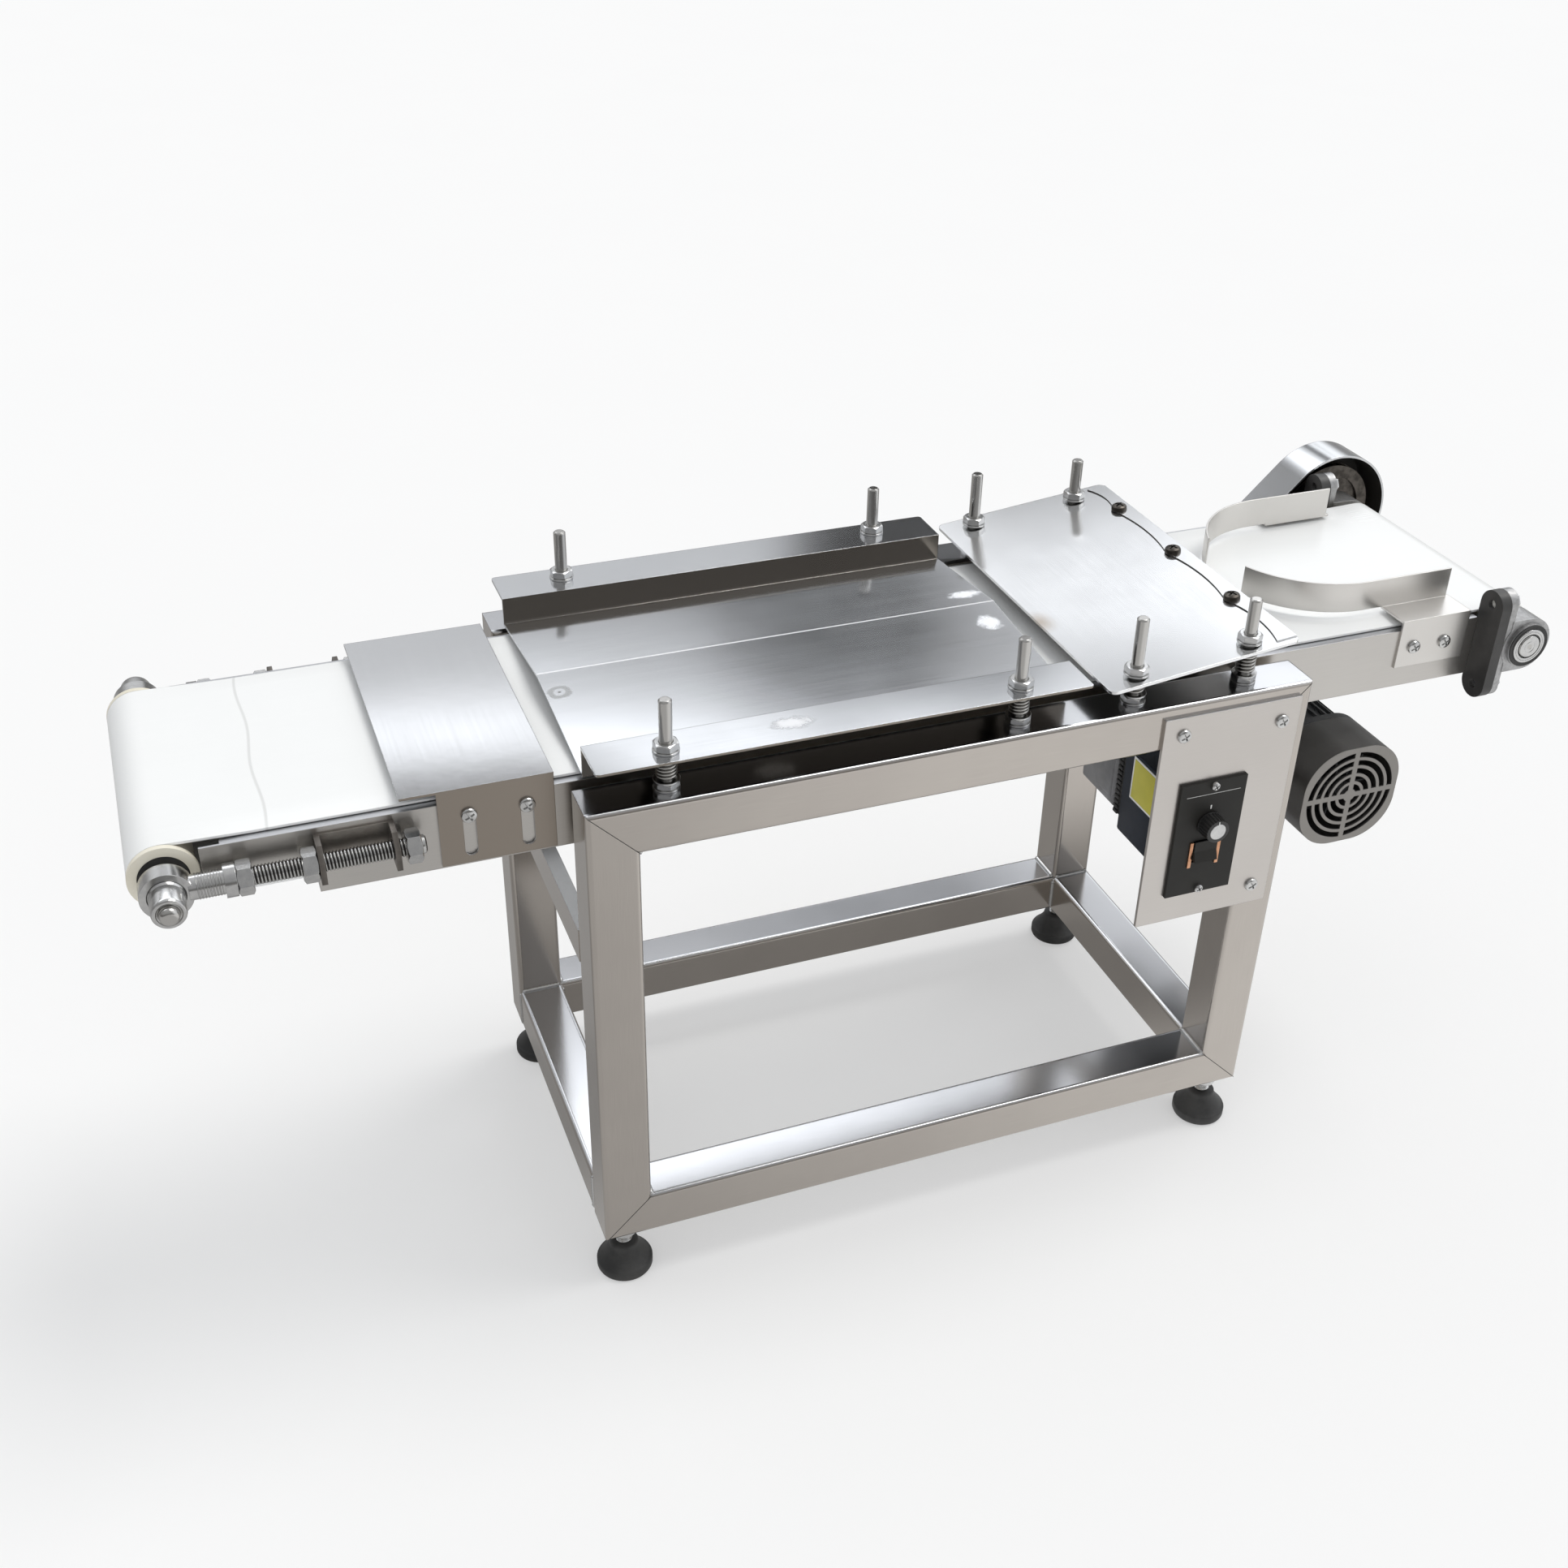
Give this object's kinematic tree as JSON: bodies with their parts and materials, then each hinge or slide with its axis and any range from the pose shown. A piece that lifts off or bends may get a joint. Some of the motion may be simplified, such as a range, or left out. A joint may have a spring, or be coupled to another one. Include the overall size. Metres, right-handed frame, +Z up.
{
  "type": "baguette moulder",
  "caption": "Baguette moulder: a white belt on a low square-tube stand rolls dough pieces between curved guides, under a tilted plate and a ridged tray; chain driven by a gear motor.",
  "frame": {"origin": "on the floor, below the middle of the whole machine's bounding box", "axes": "+X along the belt from the exit (idler) end to the infeed (drive) end, +Y to the rear, +Z up"},
  "size_m": [1.1978, 0.367, 0.5426],
  "materials": {
    "stainless": "brushed",
    "polished_stainless": "polished",
    "zinc_steel": "bright zinc plated",
    "belt_white": "smooth gloss",
    "roller_cream": "turned plastic",
    "black_plastic": "moulded",
    "black_bar": "satin black",
    "cast_alloy": "die cast",
    "motor_grey": "painted",
    "controller_navy": "moulded"
  },
  "bodies": {
    "frame": {"top_rail_front": "stainless", "top_rail_rear": "stainless", "bottom_rail_front": "stainless", "bottom_rail_rear": "stainless", "leg_front_left": "stainless", "leg_rear_left": "stainless", "leg_front_right": "stainless", "leg_rear_right": "stainless", "bottom_rail_left": "stainless", "bottom_rail_right": "stainless", "side_stretchers": "stainless", "bed_side_front": "stainless", "bed_side_rear": "stainless", "slider_deck": "stainless", "bed_spacers": "stainless", "guide_front": "stainless", "guide_rear": "stainless", "control_panel": "stainless", "chain_guard": "stainless", "tension_brackets": "stainless", "motor_plate": "stainless", "hex_nuts_m14": "zinc_steel", "studs": "zinc_steel", "seat_nuts": "zinc_steel", "pan_head_screws": "zinc_steel", "hex_bolts": "zinc_steel", "tray_springs": "zinc_steel", "plate_springs": "zinc_steel", "roller_chain": "zinc_steel", "conveyor_belt": "belt_white", "controller_face": "black_plastic", "bearing_backings": "black_bar", "pillow_blocks": "cast_alloy", "gearbox": "cast_alloy", "motor_body": "motor_grey", "fan_cowl": "motor_grey", "controller_box": "controller_navy"},
    "drive_roller": {"drive_roller": "roller_cream", "drive_shaft": "zinc_steel", "roller_sprocket": "zinc_steel"},
    "tension_carriage": {"idler_shaft": "zinc_steel", "rod_ends": "zinc_steel", "tension_rods": "zinc_steel", "carriage_nuts": "zinc_steel"},
    "idler_roller": {"idler_roller": "roller_cream", "idler_bearings": "zinc_steel"},
    "motor_output": {"output_shaft": "zinc_steel"},
    "motor_rotor": {"motor_rotor": "motor_grey"},
    "moulding_tray": {"moulding_tray": "polished_stainless", "tray_nuts": "zinc_steel"},
    "pressure_plate": {"pressure_plate": "polished_stainless", "plate_nuts": "zinc_steel", "wear_strip": "polished_stainless"},
    "exit_cover": {"exit_cover": "stainless"},
    "speed_knob": {"speed_knob": "black_plastic"},
    "rocker_switch": {"rocker_switch": "black_plastic"},
    "foot_front_left": {"foot_front_left": "black_plastic"},
    "foot_front_right": {"foot_front_right": "black_plastic"},
    "foot_rear_left": {"foot_rear_left": "black_plastic"},
    "foot_rear_right": {"foot_rear_right": "black_plastic"}
  },
  "joints": [
    {"name": "belt_drive", "type": "hinge", "parent": "frame", "child": "drive_roller", "pos_m": [0.5394, 0.0025, 0.4507], "axis": [0, -1, 0], "continuous": true},
    {"name": "belt_tension", "type": "slide", "parent": "frame", "child": "tension_carriage", "axis": [1, 0, 0], "range_m": [0, 0.012]},
    {"name": "idler_spin", "type": "hinge", "parent": "tension_carriage", "child": "idler_roller", "pos_m": [-0.5746, 0.0025, 0.4507], "axis": [0, -1, 0], "continuous": true},
    {"name": "motor_output_spin", "type": "hinge", "parent": "frame", "child": "motor_output", "pos_m": [0.39277, 0.0025, 0.32458], "axis": [0, -1, 0], "continuous": true},
    {"name": "motor_rotor_spin", "type": "hinge", "parent": "frame", "child": "motor_rotor", "pos_m": [0.39277, 0.0025, 0.32458], "axis": [0, -1, 0], "continuous": true},
    {"name": "tray_height", "type": "slide", "parent": "frame", "child": "moulding_tray", "axis": [0, 0, 1], "range_m": [0, 0.012], "deforming": ["tray_springs"]},
    {"name": "plate_height", "type": "slide", "parent": "frame", "child": "pressure_plate", "axis": [0, 0, 1], "range_m": [-0.004, 0.01], "deforming": ["plate_springs"]},
    {"name": "cover_height", "type": "slide", "parent": "frame", "child": "exit_cover", "axis": [0, 0, 1], "range_m": [0, 0.03]},
    {"name": "speed_knob_turn", "type": "hinge", "parent": "frame", "child": "speed_knob", "pos_m": [0.2239, -0.1695, 0.356], "axis": [0, -1, 0], "range_deg": [-150, 150]},
    {"name": "power_rocker", "type": "hinge", "parent": "frame", "child": "rocker_switch", "pos_m": [0.2239, -0.1655, 0.329], "axis": [1, 0, 0], "range_deg": [0, 20]},
    {"name": "foot_front_left_level", "type": "slide", "parent": "frame", "child": "foot_front_left", "axis": [0, 0, 1], "range_m": [-0.015, 0.01]},
    {"name": "foot_front_right_level", "type": "slide", "parent": "frame", "child": "foot_front_right", "axis": [0, 0, 1], "range_m": [-0.015, 0.01]},
    {"name": "foot_rear_left_level", "type": "slide", "parent": "frame", "child": "foot_rear_left", "axis": [0, 0, 1], "range_m": [-0.015, 0.01]},
    {"name": "foot_rear_right_level", "type": "slide", "parent": "frame", "child": "foot_rear_right", "axis": [0, 0, 1], "range_m": [-0.015, 0.01]}
  ],
  "couplings": [
    {"joint": "idler_spin", "follows": "belt_drive", "ratio": 1},
    {"joint": "motor_output_spin", "follows": "belt_drive", "ratio": 1.3333},
    {"joint": "motor_rotor_spin", "follows": "belt_drive", "ratio": 10}
  ]
}
